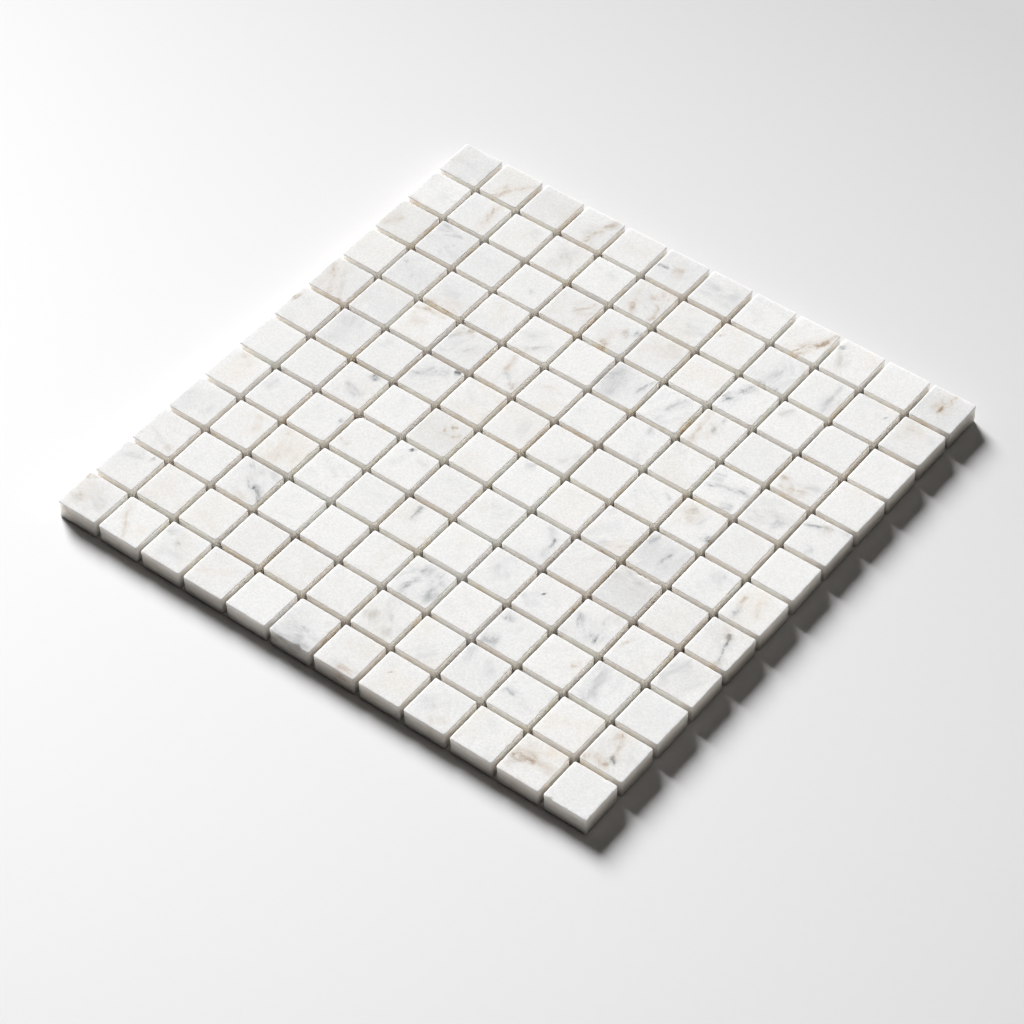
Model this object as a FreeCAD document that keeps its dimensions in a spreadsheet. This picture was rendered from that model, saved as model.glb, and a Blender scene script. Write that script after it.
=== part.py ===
"""A net-backed sheet of square marble mosaic tiles, lying face up.

Twelve rows of twelve sawn and honed tiles stand a joint apart on a woven glass-fibre net, which is
glued to their backs and is all that holds the sheet together. The joints are open, for grout.
Each tile is a solid of its own, and a row of tiles is one node. The net's two yarn systems, which
cross one on the other, are one node each.

Units are millimetres. The origin is the middle of the underside, +Z is up through the tile faces,
rows run along X, and row 1 is the one with the lowest Y.
"""
import FreeCAD, Part
import Sketcher
import os

# The driving dimensions: name, value, what it is.
DIMENSIONS = [
    ("tile_width", 23.0, "side of one square tile"),
    ("tile_thickness", 10.0, "tile from sawn back to honed face"),
    ("corner_cut", 1.0, "flat across each upright corner, worn round on the real tile"),
    ("arris_cut", 0.5, "eased edge round the face"),
    ("joint_width", 2.4, "open joint between neighbours"),
    ("tiles_in_row", 12, "tiles along X"),
    ("row_count", 12, "rows along Y"),
    ("strand_pitch", 5.0, "net strand to net strand, before they share the net evenly"),
    ("strand_width", 0.9, "flat resin-coated yarn"),
    ("strand_thickness", 0.25, "one yarn layer, so the net is twice this"),
    ("net_inset", 0.5, "cut edge of the net, in from the outer tile faces"),
]

# Sizes that follow from them, as expressions on the sheet of dimensions.
TILE_PITCH = "(Sizes.tile_width + Sizes.joint_width)"
NET_SPAN_X = f"(Sizes.tiles_in_row * {TILE_PITCH} - Sizes.joint_width - 2 * Sizes.net_inset)"
NET_SPAN_Y = f"(Sizes.row_count * {TILE_PITCH} - Sizes.joint_width - 2 * Sizes.net_inset)"


def strand_spread(span):
    """Expressions for the count and pitch of strands that share a net evenly, from edge to edge."""
    reach = f"({span} - Sizes.strand_width)"
    gaps = f"round({reach} / Sizes.strand_pitch)"
    return f"({gaps} + 1)", f"({reach} / {gaps})"


def first_place(count, pitch):
    """Expression for the first of a centred run of equal pieces."""
    return f"-({count} - 1) / 2 * {pitch}"


def write_dimensions(doc):
    sheet = doc.addObject("Spreadsheet::Sheet", "Sizes")
    for line, (name, value, meaning) in enumerate(DIMENSIONS, start=1):
        sheet.set(f"A{line}", meaning)
        sheet.set(f"B{line}", str(value))
        sheet.setAlias(f"B{line}", name)
    doc.recompute()
    return sheet


def origin_feature(body, role):
    return next(f for f in body.Origin.OriginFeatures if f.Role == role)


def new_body(doc, label):
    """A body that may hold several solids, because its pieces stand apart."""
    body = doc.addObject("PartDesign::Body", label)
    body.Label = label
    body.AllowCompound = True
    return body


def centred_rectangle(body, size_x, size_y):
    """A sketch of one rectangle about the body's origin.

    It is drawn as a small square, and its constraints then take it to the two sizes asked for.
    """
    sketch = body.newObject("Sketcher::SketchObject", body.Label + "_outline")
    sketch.AttachmentSupport = [(origin_feature(body, "XY_Plane"), "")]
    sketch.MapMode = "FlatFace"
    half = 1.0
    corners = [FreeCAD.Vector(x * half, y * half, 0) for x, y in ((-1, -1), (1, -1), (1, 1), (-1, 1))]
    start, end, sketch_origin = 1, 2, -1
    for side in range(4):
        sketch.addGeometry(Part.LineSegment(corners[side], corners[(side + 1) % 4]))
    for side in range(4):
        sketch.addConstraint(Sketcher.Constraint("Coincident", side, end, (side + 1) % 4, start))
    for side in (0, 2):
        sketch.addConstraint(Sketcher.Constraint("Horizontal", side))
    for side in (1, 3):
        sketch.addConstraint(Sketcher.Constraint("Vertical", side))
    sketch.addConstraint(Sketcher.Constraint("Symmetric", 0, start, 2, start, sketch_origin, 1))
    along_x = sketch.addConstraint(Sketcher.Constraint("DistanceX", 0, start, 0, end, 2 * half))
    along_y = sketch.addConstraint(Sketcher.Constraint("DistanceY", 1, start, 1, end, 2 * half))
    sketch.setExpression(f"Constraints[{along_x}]", size_x)
    sketch.setExpression(f"Constraints[{along_y}]", size_y)
    return sketch


def pad(body, sketch, length):
    feature = body.newObject("PartDesign::Pad", body.Label + "_pad")
    feature.Profile = sketch
    feature.setExpression("Length", length)
    body.Document.recompute()
    return feature


def chamfer(body, base, faces_or_edges, size, name):
    feature = body.newObject("PartDesign::Chamfer", f"{body.Label}_{name}")
    feature.Base = (base, faces_or_edges)
    feature.setExpression("Size", size)
    body.Document.recompute()
    return feature


def repeat(body, axis_role, count, pitch):
    """Repeats the whole of the body along one of its own axes."""
    row = body.newObject("PartDesign::LinearPattern", body.Label + "_row")
    row.TransformMode = "Whole shape"
    row.Direction = (origin_feature(body, axis_role), [""])
    row.Mode = "Spacing"
    row.setExpression("Offset", pitch)
    row.setExpression("Occurrences", count)
    body.Tip = row
    return row


def place(body, x, y, z):
    for axis, expression in (("x", x), ("y", y), ("z", z)):
        body.setExpression(f"Placement.Base.{axis}", expression)


def upright_edges(shape):
    return [
        f"Edge{number}"
        for number, edge in enumerate(shape.Edges, start=1)
        if edge.BoundBox.ZLength > max(edge.BoundBox.XLength, edge.BoundBox.YLength)
    ]


def highest_face(shape):
    number, _ = max(enumerate(shape.Faces, start=1), key=lambda item: item[1].CenterOfMass.z)
    return [f"Face{number}"]


def make_tile_row(doc, number):
    """One row of tiles: sawn square, corners worn, face arris eased, then repeated along X."""
    body = new_body(doc, f"tile_row_{number:02d}")
    outline = centred_rectangle(body, "Sizes.tile_width", "Sizes.tile_width")
    block = pad(body, outline, "Sizes.tile_thickness")
    corners = chamfer(body, block, upright_edges(block.Shape), "Sizes.corner_cut", "corners")
    chamfer(body, corners, highest_face(corners.Shape), "Sizes.arris_cut", "arris")
    repeat(body, "X_Axis", "Sizes.tiles_in_row", TILE_PITCH)
    place(
        body,
        first_place("Sizes.tiles_in_row", TILE_PITCH),
        f"({number} - (Sizes.row_count + 1) / 2) * {TILE_PITCH}",
        "2 * Sizes.strand_thickness",
    )
    return body


def make_net_warp(doc):
    """The lower yarns, which run along Y and lie on the ground."""
    body = new_body(doc, "net_warp")
    outline = centred_rectangle(body, "Sizes.strand_width", NET_SPAN_Y)
    pad(body, outline, "Sizes.strand_thickness")
    count, pitch = strand_spread(NET_SPAN_X)
    repeat(body, "X_Axis", count, pitch)
    place(body, first_place(count, pitch), "0", "0")
    return body


def make_net_weft(doc):
    """The upper yarns, which run along X, lie across the warp and carry the tiles."""
    body = new_body(doc, "net_weft")
    outline = centred_rectangle(body, NET_SPAN_X, "Sizes.strand_width")
    pad(body, outline, "Sizes.strand_thickness")
    count, pitch = strand_spread(NET_SPAN_Y)
    repeat(body, "Y_Axis", count, pitch)
    place(body, "0", first_place(count, pitch), "Sizes.strand_thickness")
    return body


def check(doc, bodies):
    """Stops before anything is written if an object failed or a shape is unsound."""
    failed = [o.Name for o in doc.Objects if {"Invalid", "Error"} & set(o.State)]
    if failed:
        raise RuntimeError(f"these objects did not build: {failed}")
    for body in bodies:
        shape = body.Shape
        if shape.isNull() or not shape.isValid() or not shape.Solids:
            raise RuntimeError(f"{body.Label} is not a sound solid")


def main():
    doc = FreeCAD.newDocument("mosaic_tile_sheet")
    sizes = write_dimensions(doc)
    bodies = [make_tile_row(doc, number) for number in range(1, int(sizes.row_count) + 1)]
    bodies += [make_net_warp(doc), make_net_weft(doc)]
    doc.recompute()
    check(doc, bodies)
    os.makedirs("parts", exist_ok=True)
    for body in bodies:
        body.Shape.exportStep(f"parts/{body.Label}.step")
        print(f"{body.Label}: {len(body.Shape.Solids)} solids, {body.Shape.Volume:.1f} mm3")


main()
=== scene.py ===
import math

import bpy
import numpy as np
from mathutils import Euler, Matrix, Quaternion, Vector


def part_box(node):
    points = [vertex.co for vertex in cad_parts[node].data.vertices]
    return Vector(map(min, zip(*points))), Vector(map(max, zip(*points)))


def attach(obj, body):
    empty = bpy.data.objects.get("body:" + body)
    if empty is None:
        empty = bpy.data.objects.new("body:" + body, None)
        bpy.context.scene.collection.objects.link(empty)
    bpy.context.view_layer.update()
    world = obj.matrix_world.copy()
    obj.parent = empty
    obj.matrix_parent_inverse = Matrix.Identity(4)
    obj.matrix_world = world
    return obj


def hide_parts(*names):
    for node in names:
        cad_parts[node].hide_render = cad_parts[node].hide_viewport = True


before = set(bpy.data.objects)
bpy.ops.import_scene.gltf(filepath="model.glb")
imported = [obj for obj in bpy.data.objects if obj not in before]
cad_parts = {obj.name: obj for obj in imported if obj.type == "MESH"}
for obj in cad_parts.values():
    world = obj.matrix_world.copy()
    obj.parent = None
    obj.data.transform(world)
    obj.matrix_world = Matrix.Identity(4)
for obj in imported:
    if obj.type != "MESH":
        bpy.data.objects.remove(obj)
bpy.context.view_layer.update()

# A net-backed sheet of square marble mosaic tiles, lying face up on a pale studio floor.
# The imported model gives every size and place; the tiles and the net's yarns are modelled again here
# with the worn corners, nicked arrises, veins and twist that the plain solids leave out.
# Lengths of tiles, yarns and stone are in millimetres, those of the studio in metres.

MM = 0.001
DRAWS = np.random.default_rng(seed=12)

# The kinds of mark on the stone, in the order in which they are laid, and how many of each a tile holds.
CREAM, GREY, RUST = "cream", "grey", "rust"
KINDS = (CREAM, GREY, RUST)
MARKS_PER_KIND = 3
VEIL_LINE = (-.4, .5, 1.4, .5)
VEIL_HALF_WIDTH = 8.0


def veil(kind, strength):
    """A mark so wide that it tones a whole tile."""
    return kind, *VEIL_LINE, VEIL_HALF_WIDTH, strength


# The marks that catch the eye, chosen one by one, by the tile's row and column from the sheet's low
# corner: kind, x and y of the middle line's start and x and y of its end as shares of the tile's side
# from its own low corner, half width in mm, strength. A tile's first mark also sets the bedding of its
# stone. A mark just outside its tile stains only the side next to it, which shows in the joint.
VEINS = {
    (12, 1): [(CREAM, .05, .60, .35, .50, 3.0, .4), (GREY, .30, .80, .45, .30, 2.0, .15), veil(GREY, .27)],
    (12, 2): [(RUST, .36, -.02, .56, .46, 1.0, 1.0), (RUST, .54, .44, .98, .80, 1.0, .8), veil(GREY, .14)],
    (12, 3): [(RUST, .98, .90, .94, .20, 1.2, .3), (CREAM, .20, .70, .80, .60, 5.0, .3), veil(GREY, .26)],
    (12, 4): [(RUST, .78, 1.0, .57, .0, 1.0, .8), (RUST, .50, -.08, 1.1, -.08, 1.2, .7),
              (GREY, .90, 1.0, .68, .0, 3.2, .6), veil(GREY, .12)],
    (12, 5): [(CREAM, .20, .60, .85, .42, 2.5, .4), veil(GREY, .14)],
    (12, 6): [(GREY, .02, .40, .32, .46, .9, .95), (GREY, .35, .45, .62, .60, 1.6, .35), veil(GREY, .22),
              (RUST, .38, .48, .66, .54, 1.5, .5)],
    (12, 7): [(GREY, -.1, .50, 1.0, .52, 3.6, .42), (GREY, .02, .36, .60, .34, 2.8, .3),
              (GREY, .50, .20, 1.0, .16, 2.6, .35)],
    (12, 8): [(CREAM, .20, .50, .60, .40, 3.5, .3)],
    (12, 9): [(RUST, .44, -.04, .84, .54, .9, 1.3), (RUST, .80, .46, .92, .76, 1.1, .8),
              (RUST, .94, 1.0, .86, .64, .7, .5)],
    (12, 10): [(GREY, .06, .80, .14, .68, 1.1, .75), (GREY, .14, .66, .46, .06, .9, .5),
               (RUST, .12, .62, .44, .08, .8, .3), (CREAM, .60, 1.0, .92, .45, 1.2, .7)],
    (12, 12): [(RUST, .43, .34, .52, 1.02, 1.0, 1.2), veil(GREY, .28)],
    (11, 1): [(RUST, .0, -.07, .9, -.07, 1.2, .6)],
    (11, 2): [(RUST, .64, 1.0, .72, .50, .9, .75), (RUST, .72, .55, .80, -.02, .9, .75),
              (GREY, .20, .80, .35, .30, 2.4, .25), veil(GREY, .18)],
    (11, 3): [(GREY, .60, .80, .95, .60, 2.0, .3), veil(GREY, .10)],
    (11, 4): [(GREY, .55, 1.0, .53, -.02, 2.6, .45), (RUST, .62, .70, .60, .20, 1.2, .2)],
    (11, 5): [(GREY, .40, .60, .80, .65, 1.5, .3), veil(GREY, .06)],
    (11, 6): [(GREY, .45, .52, .70, .32, 1.8, .4), (RUST, .12, .95, .44, -.04, .8, .65),
              (RUST, .60, 1.0, .80, .70, 1.4, 1.6), (RUST, .78, .70, .98, .02, .8, .75), veil(GREY, .24)],
    (11, 7): [(GREY, .40, .50, .85, .72, 2.6, .35), veil(GREY, .05)],
    (11, 8): [(RUST, .08, .62, .14, .58, .8, .6), (CREAM, .20, .95, .60, .85, 1.5, .3)],
    (11, 9): [(GREY, .62, .95, .60, .05, 3.2, .55), (GREY, .64, .62, .58, .26, 1.1, .9),
              (GREY, .30, .02, .95, .02, .9, .7)],
    (11, 10): [(GREY, .72, 1.02, .76, -.02, 1.1, .55), (GREY, .62, .90, .66, .20, 2.6, .25),
               (RUST, 1.07, .60, 1.07, .0, 1.2, .5)],
    (11, 11): [(GREY, .10, .72, .74, .86, 2.8, .3), (GREY, .80, .73, .84, .71, .6, .75), veil(GREY, .09)],
    (11, 12): [(GREY, .14, .60, .95, .74, 1.6, .45), (RUST, .06, .60, .60, .74, 2.2, .45), veil(GREY, .14)],
    (10, 1): [(RUST, .15, .10, .42, .58, 1.6, .5), (RUST, 1.07, .60, 1.07, .0, 1.2, .6),
              (GREY, .80, .90, .50, .30, 3.0, .2), veil(GREY, .20)],
    (10, 2): [(GREY, .02, .86, .90, .80, 3.2, .6), (GREY, .74, .64, .44, .16, 1.1, .7), veil(GREY, .22)],
    (10, 3): [(GREY, .30, .60, .70, .50, 3.0, .15), veil(GREY, .20)],
    (10, 4): [(GREY, .56, .46, .70, .38, 1.0, .5), (GREY, .20, .80, .40, .70, 2.4, .2), veil(GREY, .11)],
    (10, 5): [(RUST, .86, .95, .54, .48, 1.1, .9), (RUST, .53, .60, .58, .54, .8, 1.0),
              (CREAM, .05, .35, .45, .40, 3.2, .6), veil(GREY, .16), (RUST, 1.07, .75, 1.07, .15, 1.3, .8)],
    (10, 6): [(RUST, .33, .16, .50, .48, 1.0, .8), (RUST, .48, .44, .76, .62, .8, .7),
              (RUST, .35, .22, .66, -.06, 1.2, .9), (GREY, .66, .50, .98, .84, 1.1, .8), veil(GREY, .19)],
    (10, 7): [(RUST, .50, .90, .80, .55, 2.4, .4), (CREAM, .10, .60, .50, .50, 2.6, .5), veil(GREY, .14)],
    (10, 8): [(CREAM, .05, .58, .95, .56, 2.2, .5)],
    (10, 9): [(GREY, .50, .97, .26, .56, 1.3, 1.0), (GREY, .34, .68, .04, .12, 1.2, 1.0),
              (GREY, .18, .76, .60, 1.0, 1.4, .4)],
    (10, 10): [(GREY, .36, .90, .12, .58, .7, .6), (RUST, .32, .88, .10, .58, .6, .3),
               (CREAM, .40, .50, .80, .40, 3.0, .3)],
    (9, 1): [veil(CREAM, .25), veil(GREY, .10)],
    (9, 2): [(GREY, .12, .70, .20, .58, 1.1, .55), (GREY, .60, .66, .40, -.02, 1.0, .6), veil(GREY, .29)],
    (9, 3): [(RUST, .02, -.08, 1.0, -.03, 1.2, 1.1), (RUST, .40, .10, .98, .34, 1.3, .4),
             (GREY, .10, .50, .70, .56, 3.4, .35), veil(GREY, .21)],
    (9, 4): [(CREAM, .38, .95, .56, .25, .9, .5), (RUST, .93, 1.0, .98, .95, .8, .5), veil(GREY, .06)],
    (9, 5): [(GREY, .76, .60, .50, .18, .9, .75), (GREY, .50, .22, .22, -.02, .9, .45),
             (GREY, .20, .62, .50, .30, 3.2, .4), (RUST, .20, -.08, .80, -.08, 1.2, .5)],
    (9, 7): [(GREY, .10, 1.0, .34, .0, 5.0, .6), (GREY, .94, 1.0, .78, .42, .5, .65), veil(GREY, .12)],
    (9, 8): [(GREY, .62, .98, .46, .38, .5, .65), (RUST, 1.07, .60, 1.07, .15, 1.2, .6),
             (GREY, .50, .30, .46, .06, 1.0, .5), (GREY, .50, .60, .85, .30, 2.6, .2)],
    (9, 9): [(RUST, .12, 1.02, .24, -.02, 1.2, .65), (GREY, .42, 1.0, .47, .45, .7, .9),
             (RUST, .46, .60, .40, .24, .9, .5), veil(RUST, .08), veil(GREY, .04)],
    (9, 10): [(GREY, .30, .80, .60, .70, 3.0, .2), veil(GREY, .05)],
    (9, 11): [(RUST, .03, .34, .27, .37, 1.0, .65), (RUST, .14, .08, .74, .29, 1.1, .9),
              (GREY, .20, .26, 1.0, .48, 1.8, .45)],
    (9, 12): [(GREY, .85, .90, .95, .70, 1.5, .2), (CREAM, .20, .50, .80, .40, 2.0, .25)],
    (8, 1): [(RUST, .04, .90, .50, .06, 1.2, .7), (RUST, .46, .10, .92, -.04, 1.0, .6),
             (GREY, .34, .78, .85, .04, 1.4, .4), (CREAM, .20, .80, .60, .10, 2.5, .5), veil(GREY, .20),
             (RUST, .50, -.07, 1.0, -.07, 1.2, .7)],
    (8, 2): [(GREY, .20, .30, .60, .40, 3.2, .3), (GREY, .55, .80, .90, .60, 2.0, .2), veil(GREY, .26)],
    (8, 3): [(RUST, -.05, .80, .85, 1.0, 1.1, .85), (RUST, .15, .46, .60, .64, 1.4, .35), veil(GREY, .04),
             (RUST, .30, -.08, .90, -.08, 1.2, .5)],
    (8, 4): [(GREY, .38, 1.02, .04, .50, .9, 1.2), (RUST, .38, 1.0, .14, .66, 1.0, .9), veil(GREY, .20),
             (GREY, .20, .72, .50, .28, 3.4, .6), (CREAM, .60, .60, .90, .40, 2.0, .4)],
    (8, 5): [(RUST, .34, .94, .50, .45, .8, .6), (GREY, .50, .46, .82, .20, .8, .5),
             (GREY, .78, .24, .92, .12, .9, .7), (RUST, .74, .24, .98, .10, 1.0, .5),
             (RUST, .10, -.08, .60, -.08, 1.2, .6)],
    (8, 6): [(RUST, .02, .58, .98, .74, .8, .3), (CREAM, .50, .08, .98, .22, 2.0, .5)],
    (8, 8): [(GREY, .52, 1.0, .66, .74, .7, .45), (GREY, .80, .66, .84, .02, 1.6, .35)],
    (8, 10): [(GREY, .00, .72, .32, .78, 1.4, .85), (GREY, .04, .38, 1.0, .64, .8, .85),
              (GREY, .60, .06, .90, .14, 1.4, .8), (CREAM, .20, .20, .80, .10, 2.0, .2)],
    (8, 11): [(GREY, .02, .32, 1.0, .50, 1.6, .8), (GREY, .05, .70, .60, .80, 1.8, .35),
              (GREY, .10, .14, .80, .28, 1.8, .55)],
    (8, 12): [(GREY, .02, .68, .98, 1.02, .5, .75), (GREY, .44, .04, .62, .16, 1.4, .6),
              (RUST, .40, .80, .60, .88, 1.0, .4)],
    (7, 1): [(RUST, .02, .66, .14, .64, 1.4, 1.2), (CREAM, .40, .30, .70, .20, 2.2, .3), veil(GREY, .08)],
    (7, 2): [(GREY, .16, 1.0, .54, .04, 4.6, .5), (GREY, .36, .50, .48, .02, 1.6, .4), veil(GREY, .16)],
    (7, 3): [(GREY, .15, .72, .30, .65, 2.0, .25), (CREAM, .40, .30, .70, .20, 2.2, .3), veil(GREY, .06)],
    (7, 4): [(GREY, .78, .90, .93, .97, .7, 1.2), (GREY, .74, .90, .30, .66, 1.8, .6),
             (GREY, .44, .80, .06, .26, 1.8, .6), (CREAM, .50, .30, .90, .20, 3.0, .3)],
    (7, 5): [(RUST, .36, .97, .46, .93, .8, .5), (RUST, 1.07, .90, 1.07, .10, 1.2, .7),
             (CREAM, .60, .45, .85, .35, 1.6, .4)],
    (7, 6): [(GREY, .56, .50, .80, .55, 1.3, .5), (CREAM, .20, .30, .50, .25, 2.0, .25)],
    (7, 7): [(GREY, .88, .66, .80, .15, 1.6, .45), (RUST, .22, .95, .28, .92, .6, .6)],
    (7, 8): [(CREAM, .20, .60, .80, .50, 4.0, .2)],
    (7, 9): [(GREY, .68, .82, .88, .70, .7, .6), (GREY, .16, .54, .20, .52, .4, .6)],
    (7, 10): [(RUST, .42, .84, .22, .52, 1.4, .8), (GREY, .40, .84, .22, .58, .9, .9),
              (GREY, .64, .80, .60, .44, .7, .7), (GREY, .86, .44, 1.0, .26, 1.1, 1.1)],
    (7, 11): [(CREAM, .35, .75, .65, .55, 2.2, .4), (GREY, .40, .70, .60, .60, 2.0, .12), veil(GREY, .05)],
    (6, 2): [(GREY, .20, .40, .80, .60, 3.0, .12), veil(GREY, .12)],
    (6, 3): [(GREY, .58, .98, .78, .84, 1.1, .9), (GREY, .28, .48, .84, .36, 1.0, .6),
             (GREY, .40, .30, .72, .26, .9, .55), (RUST, .30, .40, .45, .30, 1.0, .2)],
    (6, 4): [(GREY, .30, .76, .92, .70, 1.6, .2)],
    (6, 5): [(GREY, .10, .30, .88, .52, 3.0, .3), (RUST, .60, .74, .72, .84, .6, 1.0),
             (RUST, .50, .60, .56, .64, .5, .9), (RUST, .76, .54, .94, .62, .6, .8),
             veil(CREAM, .3), veil(GREY, .27)],
    (6, 7): [(GREY, .18, .84, .42, .97, .9, .45)],
    (6, 8): [(CREAM, .10, .50, .90, .50, 8.0, .25)],
    (6, 9): [(RUST, .66, .06, .97, .38, .9, .55), (RUST, .50, .04, .74, .08, .8, .5),
             (GREY, .42, .06, .66, .12, 1.2, .4)],
    (6, 10): [(GREY, .16, .96, .10, .60, 1.8, .6), (GREY, .68, .72, .54, .24, .75, .8), veil(GREY, .36)],
    (6, 11): [(GREY, .66, .88, .97, .74, .8, .6), (GREY, .40, .66, .90, .50, 3.4, .3)],
    (6, 12): [(RUST, .22, .70, .28, .36, 1.2, .7), (GREY, .28, .44, .22, .0, .9, .8),
              (RUST, .64, .80, .72, .30, 1.4, .45), (CREAM, .10, .80, .60, .70, 4.0, .6)],
    (5, 1): [(RUST, .20, .86, .66, .76, 1.4, .6), (CREAM, .20, .50, .80, .40, 5.0, .5)],
    (5, 2): [(GREY, .24, .84, .18, .44, 1.1, .55), veil(GREY, .06), (RUST, 1.07, .35, 1.07, .0, 1.2, .7)],
    (5, 3): [(GREY, .25, .85, .55, .45, 2.2, .25), (GREY, .85, .66, .97, .64, .6, .8)],
    (5, 4): [(RUST, .06, .30, .36, .24, .7, .6), (CREAM, .40, .95, .80, .80, 2.0, .4)],
    (5, 5): [(GREY, .33, .94, .40, .88, .7, 1.4), (GREY, .20, .50, .36, .44, 1.1, .7),
             (GREY, .58, .76, .95, .70, .8, .45)],
    (5, 7): [(GREY, .45, .48, .85, .68, 2.6, .28), (CREAM, .05, .60, .30, .40, 2.2, .3)],
    (5, 8): [(GREY, .48, .92, .76, .58, 1.8, .4), (GREY, .76, .76, .84, .46, .7, .9),
             (GREY, .62, .44, .90, .02, 2.6, .5)],
    (5, 10): [(GREY, -.2, .50, 1.2, .50, 13.0, .34), (GREY, .02, .90, .75, .78, 2.4, .5),
              (GREY, .40, .58, 1.0, .54, .9, .7)],
    (5, 11): [(CREAM, .10, .50, .90, .50, 8.0, .16)],
    (5, 12): [(GREY, .51, .82, .57, .66, .6, 1.2), (GREY, .56, .72, .64, .46, .5, 1.0),
              (GREY, .62, .50, .76, .04, .6, 1.0), (RUST, .30, .98, .60, .60, 1.6, .3),
              (RUST, .60, .06, .80, -.04, .9, .5), (RUST, .14, .60, .30, .10, 2.4, .2)],
    (4, 1): [(GREY, .05, .60, .40, .10, 4.5, .36), (GREY, .78, .60, .66, .20, 1.1, .5)],
    (4, 2): [(RUST, .64, .95, .76, .45, 1.4, .4), (CREAM, .50, .90, .80, .30, 3.0, .4)],
    (4, 3): [(RUST, .24, 1.0, .52, .04, 1.1, .6), (RUST, .46, 1.0, .62, .30, 1.1, .55),
             (RUST, .76, .90, .80, .20, 1.0, .35), (CREAM, .20, .80, .50, .50, 3.0, .5)],
    (4, 4): [(RUST, .62, .46, .68, .43, 1.1, .4)],
    (4, 6): [(GREY, .37, .96, .41, .52, .6, .8), (RUST, .95, .36, .99, .26, .8, .6)],
    (4, 7): [(CREAM, .38, .70, .85, .86, 2.2, .6), (GREY, .20, .50, .80, .34, 1.6, .2)],
    (4, 8): [(GREY, .34, .96, .50, .82, 1.3, .5), (GREY, .24, .62, .68, .50, 1.9, .4),
             (GREY, .70, .30, .95, .10, 2.0, .2)],
    (4, 9): [(GREY, .35, .58, .39, .55, .5, 1.6), (GREY, .08, .44, .36, .14, 1.7, .4)],
    (4, 10): [(GREY, .08, .64, .22, .0, 1.6, .9), (GREY, .50, .72, .78, .12, 1.8, .95),
              (GREY, .48, .74, .94, 1.0, 1.8, .5)],
    (4, 11): [(RUST, .12, .58, .20, .54, 1.1, .8), (CREAM, .60, .50, .90, .20, 3.5, .45)],
    (4, 12): [(GREY, .26, .98, .08, .10, 2.4, .38), (GREY, .30, .60, .80, .40, 9.0, .22)],
    (3, 1): [(RUST, .74, .27, .92, .18, 1.5, .4), (RUST, .03, .22, .08, .16, .8, .6)],
    (3, 2): [(GREY, .36, .46, .46, .44, 1.1, .3)],
    (3, 3): [(GREY, .36, .60, 1.0, .14, 1.2, 1.2), (GREY, .16, .84, .60, .66, 2.2, .65),
             (GREY, .48, .78, .86, 1.0, 1.8, .5), (RUST, .34, .60, .48, .50, 1.2, .4),
             (RUST, .50, .20, .66, -.06, 1.8, .45)],
    (3, 7): [(GREY, .42, 1.0, .22, .05, 2.2, .7), (GREY, .66, 1.0, .90, .10, 2.2, .65),
             (GREY, .30, .40, .34, -.04, 1.1, .8)],
    (3, 8): [(CREAM, .10, .50, .90, .50, 8.0, .12)],
    (3, 9): [(GREY, .12, .96, .16, .70, 1.3, .85), (GREY, .06, .08, .42, .22, 1.6, .75),
             (GREY, .45, .72, .60, .66, 1.2, .3)],
    (3, 10): [(RUST, .76, .54, .94, .70, 1.1, .6), veil(CREAM, .15)],
    (3, 11): [(GREY, .22, .92, .46, -.04, 1.4, .5)],
    (3, 12): [(GREY, .50, .65, .75, .55, 2.2, .2), veil(GREY, .18)],
    (2, 1): [(GREY, .06, .66, .62, .86, 1.6, .5), (GREY, .74, .92, .84, .88, .8, 1.0)],
    (2, 3): [(RUST, .15, .42, .95, .12, .9, .2), (CREAM, .10, .50, .90, .40, 8.0, .28)],
    (2, 4): [(RUST, .58, .98, .64, .95, .8, .5), (CREAM, .20, .60, .80, .50, 6.0, .2)],
    (2, 5): [(RUST, .10, -.08, .90, -.08, 1.2, .5)],
    (2, 7): [(GREY, .50, .66, .90, .14, 1.7, .55), (RUST, .08, .22, .54, .62, 1.0, .3),
             (GREY, .06, .20, .54, .66, 1.7, .5), (RUST, .52, .62, .88, .18, 1.0, .3),
             (GREY, .25, .80, .75, .92, 3.0, .35), veil(RUST, .05)],
    (2, 8): [(GREY, .72, .44, .50, .02, 1.4, .3), (GREY, .26, .90, .34, .80, 1.2, .3)],
    (2, 9): [(GREY, .13, .97, .30, .55, 1.4, .55), (GREY, .52, .88, .72, .42, 1.4, .55), veil(GREY, .16)],
    (2, 10): [(GREY, .08, .50, .36, .41, .9, .75), (GREY, .35, .42, .85, .28, 1.2, .15)],
    (2, 11): [(RUST, .06, .98, .16, .96, .6, .5), (CREAM, .10, .50, .90, .50, 8.0, .18)],
    (2, 12): [(RUST, .26, 1.0, .52, .66, .9, 1.0), (RUST, .46, .74, .58, .34, .9, .8),
              (GREY, .47, .42, .62, .20, .8, 1.3), (RUST, -.02, .14, .60, .20, 1.3, .8),
              (GREY, .70, .85, .92, .40, 2.4, .4), veil(GREY, .12)],
    (1, 1): [(RUST, .00, .60, .50, .30, 2.2, .6), (GREY, .15, .30, .98, .56, 3.0, .45),
             (RUST, .00, 1.0, .16, .84, 1.6, .8), (RUST, .50, .20, 1.0, .60, 2.6, .2)],
    (1, 2): [(RUST, .08, 1.0, .34, .42, .7, .5), (RUST, .32, .48, .62, .04, .7, .5),
             (CREAM, .74, .55, .82, .15, 1.3, .7)],
    (1, 3): [(GREY, .02, .76, .50, .86, 1.4, .6), (GREY, .36, .60, .94, .72, 1.2, .75),
             (GREY, .20, .24, .90, .36, 3.0, .3)],
    (1, 4): [(CREAM, .06, .28, .85, .64, 1.3, .7)],
    (1, 6): [(GREY, -.1, .12, 1.1, .08, 3.4, .55), (GREY, .34, .24, .66, .52, 2.6, .55),
             (GREY, .76, .82, .92, .76, 1.1, .6)],
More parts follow.
